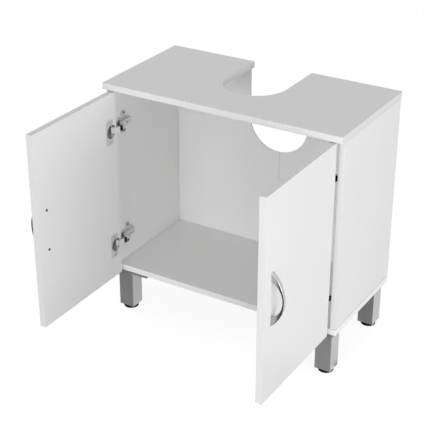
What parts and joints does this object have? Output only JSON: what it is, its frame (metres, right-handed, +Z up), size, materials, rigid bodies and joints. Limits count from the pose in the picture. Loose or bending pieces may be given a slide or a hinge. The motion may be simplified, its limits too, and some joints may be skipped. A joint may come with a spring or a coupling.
{
  "type": "sink base cabinet",
  "caption": "Low bathroom cabinet on square legs, with doors on cup hinges, bow handles and U-shaped cut-outs in the top and back that go round a basin pedestal and pipes.",
  "frame": {"origin": "on the floor, under the middle of the whole box with both doors open at a right angle", "axes": "+X to the right seen from the front, +Y to the rear (the wall), +Z up"},
  "size_m": [0.626, 0.5926, 0.597],
  "materials": {
    "white_board": "white melamine-faced board, satin",
    "white_backing": "white-faced thin fibreboard, satin",
    "handle_chrome": "satin chrome",
    "hinge_steel": "nickel-plated pressed steel",
    "screw_steel": "zinc-plated",
    "leg_aluminium": "satin anodised",
    "leg_plate_grey": "grey, satin",
    "black_plastic": "moulded, matt"
  },
  "bodies": {
    "carcass": {"top_panel": "white_board", "bottom_panel": "white_board", "side_panel_left": "white_board", "back_panel_left": "white_backing", "hinge_plate_left_upper": "hinge_steel", "hinge_arm_left_upper": "hinge_steel", "arm_screw_left_upper": "screw_steel", "plate_screw_left_upper_top": "screw_steel", "plate_screw_left_upper_bottom": "screw_steel", "hinge_plate_left_lower": "hinge_steel", "hinge_arm_left_lower": "hinge_steel", "arm_screw_left_lower": "screw_steel", "plate_screw_left_lower_top": "screw_steel", "plate_screw_left_lower_bottom": "screw_steel", "leg_plate_left_front": "leg_plate_grey", "leg_left_front": "leg_aluminium", "leg_plate_left_rear": "leg_plate_grey", "leg_left_rear": "leg_aluminium", "side_panel_right": "white_board", "back_panel_right": "white_backing", "hinge_plate_right_upper": "hinge_steel", "hinge_arm_right_upper": "hinge_steel", "arm_screw_right_upper": "screw_steel", "plate_screw_right_upper_top": "screw_steel", "plate_screw_right_upper_bottom": "screw_steel", "hinge_plate_right_lower": "hinge_steel", "hinge_arm_right_lower": "hinge_steel", "arm_screw_right_lower": "screw_steel", "plate_screw_right_lower_top": "screw_steel", "plate_screw_right_lower_bottom": "screw_steel", "leg_plate_right_front": "leg_plate_grey", "leg_right_front": "leg_aluminium", "leg_plate_right_rear": "leg_plate_grey", "leg_right_rear": "leg_aluminium"},
    "link_left_upper": {"hinge_link_left_upper": "hinge_steel"},
    "link_left_lower": {"hinge_link_left_lower": "hinge_steel"},
    "door_left": {"door_left": "white_board", "handle_left": "handle_chrome", "handle_screw_left_upper": "screw_steel", "hinge_cup_left_upper": "hinge_steel", "handle_screw_left_lower": "screw_steel", "hinge_cup_left_lower": "hinge_steel"},
    "foot_left_front": {"foot_left_front": "black_plastic"},
    "foot_left_rear": {"foot_left_rear": "black_plastic"},
    "link_right_upper": {"hinge_link_right_upper": "hinge_steel"},
    "link_right_lower": {"hinge_link_right_lower": "hinge_steel"},
    "door_right": {"door_right": "white_board", "handle_right": "handle_chrome", "handle_screw_right_upper": "screw_steel", "hinge_cup_right_upper": "hinge_steel", "handle_screw_right_lower": "screw_steel", "hinge_cup_right_lower": "hinge_steel"},
    "foot_right_front": {"foot_right_front": "black_plastic"},
    "foot_right_rear": {"foot_right_rear": "black_plastic"}
  },
  "joints": [
    {"name": "hinge_swing_left_upper", "type": "hinge", "parent": "carcass", "child": "link_left_upper", "pos_m": [-0.26385, 0.007, 0.488], "axis": [0, 0, 1], "range_deg": [-54, 3]},
    {"name": "hinge_swing_left_lower", "type": "hinge", "parent": "carcass", "child": "link_left_lower", "pos_m": [-0.26385, 0.007, 0.1968], "axis": [0, 0, 1], "range_deg": [-54, 3]},
    {"name": "door_swing_left", "type": "hinge", "parent": "link_left_upper", "child": "door_left", "pos_m": [-0.27399, -0.0124, 0.346], "axis": [0, 0, -1], "range_deg": [-144, 8]},
    {"name": "foot_travel_left_front", "type": "slide", "parent": "carcass", "child": "foot_left_front", "axis": [0, 0, -1], "range_m": [0, 0.015]},
    {"name": "foot_travel_left_rear", "type": "slide", "parent": "carcass", "child": "foot_left_rear", "axis": [0, 0, -1], "range_m": [0, 0.015]},
    {"name": "hinge_swing_right_upper", "type": "hinge", "parent": "carcass", "child": "link_right_upper", "pos_m": [0.26385, 0.007, 0.488], "axis": [0, 0, -1], "range_deg": [-54, 3]},
    {"name": "hinge_swing_right_lower", "type": "hinge", "parent": "carcass", "child": "link_right_lower", "pos_m": [0.26385, 0.007, 0.1968], "axis": [0, 0, -1], "range_deg": [-54, 3]},
    {"name": "door_swing_right", "type": "hinge", "parent": "link_right_upper", "child": "door_right", "pos_m": [0.27399, -0.0124, 0.346], "axis": [0, 0, 1], "range_deg": [-144, 8]},
    {"name": "foot_travel_right_front", "type": "slide", "parent": "carcass", "child": "foot_right_front", "axis": [0, 0, -1], "range_m": [0, 0.015]},
    {"name": "foot_travel_right_rear", "type": "slide", "parent": "carcass", "child": "foot_right_rear", "axis": [0, 0, -1], "range_m": [0, 0.015]}
  ],
  "couplings": [
    {"joint": "hinge_swing_left_upper", "follows": "door_swing_left", "ratio": 0.375},
    {"joint": "hinge_swing_left_lower", "follows": "door_swing_left", "ratio": 0.375},
    {"joint": "hinge_swing_right_upper", "follows": "door_swing_right", "ratio": 0.375},
    {"joint": "hinge_swing_right_lower", "follows": "door_swing_right", "ratio": 0.375}
  ]
}
